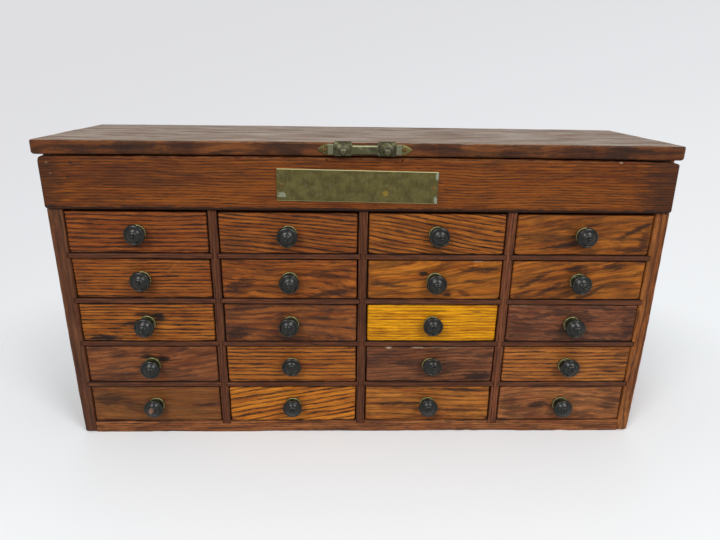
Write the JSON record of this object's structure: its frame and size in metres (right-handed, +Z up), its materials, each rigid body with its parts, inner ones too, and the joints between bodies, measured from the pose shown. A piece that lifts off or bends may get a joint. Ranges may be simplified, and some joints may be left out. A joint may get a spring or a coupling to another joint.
{
  "type": "watchmaker parts cabinet",
  "caption": "Small oak parts cabinet: rows of sliding drawers on turned knobs under a lidded well, with a brass handle plate on the lid's edge and a bare brass nameplate.",
  "frame": {"origin": "middle of the case's footprint, on the surface that the cabinet stands on", "axes": "+X to the right along the drawer fronts, +Y from the fronts to the back, +Z up"},
  "size_m": [0.4346, 0.1327, 0.2264],
  "materials": {
    "case_oak": "dark stained oak, old satin shellac, worn edges",
    "lid_oak": "dark oak with a greyed, dusty top and a rubbed front edge",
    "inner_oak": "dark unpolished oak",
    "drawer_oak": "oak fronts with strong varied grain, old satin varnish",
    "ebonised_knob": "black turned wood, satin, on a tarnished brass collar",
    "aged_brass": "olive tarnished brass",
    "copper_nail": "brown tarnished nail heads"
  },
  "bodies": {
    "case": {"side_left": "case_oak", "side_right": "case_oak", "bottom_board": "case_oak", "back_panel": "inner_oak", "well_floor": "inner_oak", "apron": "case_oak", "partition_left": "inner_oak", "partition_middle": "inner_oak", "partition_right": "inner_oak", "drawer_shelves": "inner_oak", "nameplate": "aged_brass", "nameplate_pins": "aged_brass", "hinge_case_halves": "aged_brass", "hinge_screws_case": "aged_brass"},
    "lid": {"lid": "lid_oak", "hinge_lid_halves": "aged_brass", "hinge_screws_lid": "aged_brass", "handle_plate": "aged_brass", "handle_posts": "aged_brass", "handle_nails": "copper_nail"},
    "drawer_r1c1": {"drawer_r1c1": "drawer_oak", "knob_r1c1": "ebonised_knob"},
    "drawer_r1c2": {"drawer_r1c2": "drawer_oak", "knob_r1c2": "ebonised_knob"},
    "drawer_r1c3": {"drawer_r1c3": "drawer_oak", "knob_r1c3": "ebonised_knob"},
    "drawer_r1c4": {"drawer_r1c4": "drawer_oak", "knob_r1c4": "ebonised_knob"},
    "drawer_r2c1": {"drawer_r2c1": "drawer_oak", "knob_r2c1": "ebonised_knob"},
    "drawer_r2c2": {"drawer_r2c2": "drawer_oak", "knob_r2c2": "ebonised_knob"},
    "drawer_r2c3": {"drawer_r2c3": "drawer_oak", "knob_r2c3": "ebonised_knob"},
    "drawer_r2c4": {"drawer_r2c4": "drawer_oak", "knob_r2c4": "ebonised_knob"},
    "drawer_r3c1": {"drawer_r3c1": "drawer_oak", "knob_r3c1": "ebonised_knob"},
    "drawer_r3c2": {"drawer_r3c2": "drawer_oak", "knob_r3c2": "ebonised_knob"},
    "drawer_r3c3": {"drawer_r3c3": "drawer_oak", "knob_r3c3": "ebonised_knob"},
    "drawer_r3c4": {"drawer_r3c4": "drawer_oak", "knob_r3c4": "ebonised_knob"},
    "drawer_r4c1": {"drawer_r4c1": "drawer_oak", "knob_r4c1": "ebonised_knob"},
    "drawer_r4c2": {"drawer_r4c2": "drawer_oak", "knob_r4c2": "ebonised_knob"},
    "drawer_r4c3": {"drawer_r4c3": "drawer_oak", "knob_r4c3": "ebonised_knob"},
    "drawer_r4c4": {"drawer_r4c4": "drawer_oak", "knob_r4c4": "ebonised_knob"},
    "drawer_r5c1": {"drawer_r5c1": "drawer_oak", "knob_r5c1": "ebonised_knob"},
    "drawer_r5c2": {"drawer_r5c2": "drawer_oak", "knob_r5c2": "ebonised_knob"},
    "drawer_r5c3": {"drawer_r5c3": "drawer_oak", "knob_r5c3": "ebonised_knob"},
    "drawer_r5c4": {"drawer_r5c4": "drawer_oak", "knob_r5c4": "ebonised_knob"}
  },
  "joints": [
    {"name": "lid_hinge", "type": "hinge", "parent": "case", "child": "lid", "pos_m": [0, 0.0565, 0.21465], "axis": [-1, 0, 0], "range_deg": [0, 110]},
    {"name": "slide_r1c1", "type": "slide", "parent": "case", "child": "drawer_r1c1", "axis": [0, -1, 0], "range_m": [0, 0.08]},
    {"name": "slide_r1c2", "type": "slide", "parent": "case", "child": "drawer_r1c2", "axis": [0, -1, 0], "range_m": [0, 0.08]},
    {"name": "slide_r1c3", "type": "slide", "parent": "case", "child": "drawer_r1c3", "axis": [0, -1, 0], "range_m": [0, 0.08]},
    {"name": "slide_r1c4", "type": "slide", "parent": "case", "child": "drawer_r1c4", "axis": [0, -1, 0], "range_m": [0, 0.08]},
    {"name": "slide_r2c1", "type": "slide", "parent": "case", "child": "drawer_r2c1", "axis": [0, -1, 0], "range_m": [0, 0.08]},
    {"name": "slide_r2c2", "type": "slide", "parent": "case", "child": "drawer_r2c2", "axis": [0, -1, 0], "range_m": [0, 0.08]},
    {"name": "slide_r2c3", "type": "slide", "parent": "case", "child": "drawer_r2c3", "axis": [0, -1, 0], "range_m": [0, 0.08]},
    {"name": "slide_r2c4", "type": "slide", "parent": "case", "child": "drawer_r2c4", "axis": [0, -1, 0], "range_m": [0, 0.08]},
    {"name": "slide_r3c1", "type": "slide", "parent": "case", "child": "drawer_r3c1", "axis": [0, -1, 0], "range_m": [0, 0.08]},
    {"name": "slide_r3c2", "type": "slide", "parent": "case", "child": "drawer_r3c2", "axis": [0, -1, 0], "range_m": [0, 0.08]},
    {"name": "slide_r3c3", "type": "slide", "parent": "case", "child": "drawer_r3c3", "axis": [0, -1, 0], "range_m": [0, 0.08]},
    {"name": "slide_r3c4", "type": "slide", "parent": "case", "child": "drawer_r3c4", "axis": [0, -1, 0], "range_m": [0, 0.08]},
    {"name": "slide_r4c1", "type": "slide", "parent": "case", "child": "drawer_r4c1", "axis": [0, -1, 0], "range_m": [0, 0.08]},
    {"name": "slide_r4c2", "type": "slide", "parent": "case", "child": "drawer_r4c2", "axis": [0, -1, 0], "range_m": [0, 0.08]},
    {"name": "slide_r4c3", "type": "slide", "parent": "case", "child": "drawer_r4c3", "axis": [0, -1, 0], "range_m": [0, 0.08]},
    {"name": "slide_r4c4", "type": "slide", "parent": "case", "child": "drawer_r4c4", "axis": [0, -1, 0], "range_m": [0, 0.08]},
    {"name": "slide_r5c1", "type": "slide", "parent": "case", "child": "drawer_r5c1", "axis": [0, -1, 0], "range_m": [0, 0.08]},
    {"name": "slide_r5c2", "type": "slide", "parent": "case", "child": "drawer_r5c2", "axis": [0, -1, 0], "range_m": [0, 0.08]},
    {"name": "slide_r5c3", "type": "slide", "parent": "case", "child": "drawer_r5c3", "axis": [0, -1, 0], "range_m": [0, 0.08]},
    {"name": "slide_r5c4", "type": "slide", "parent": "case", "child": "drawer_r5c4", "axis": [0, -1, 0], "range_m": [0, 0.08]}
  ]
}
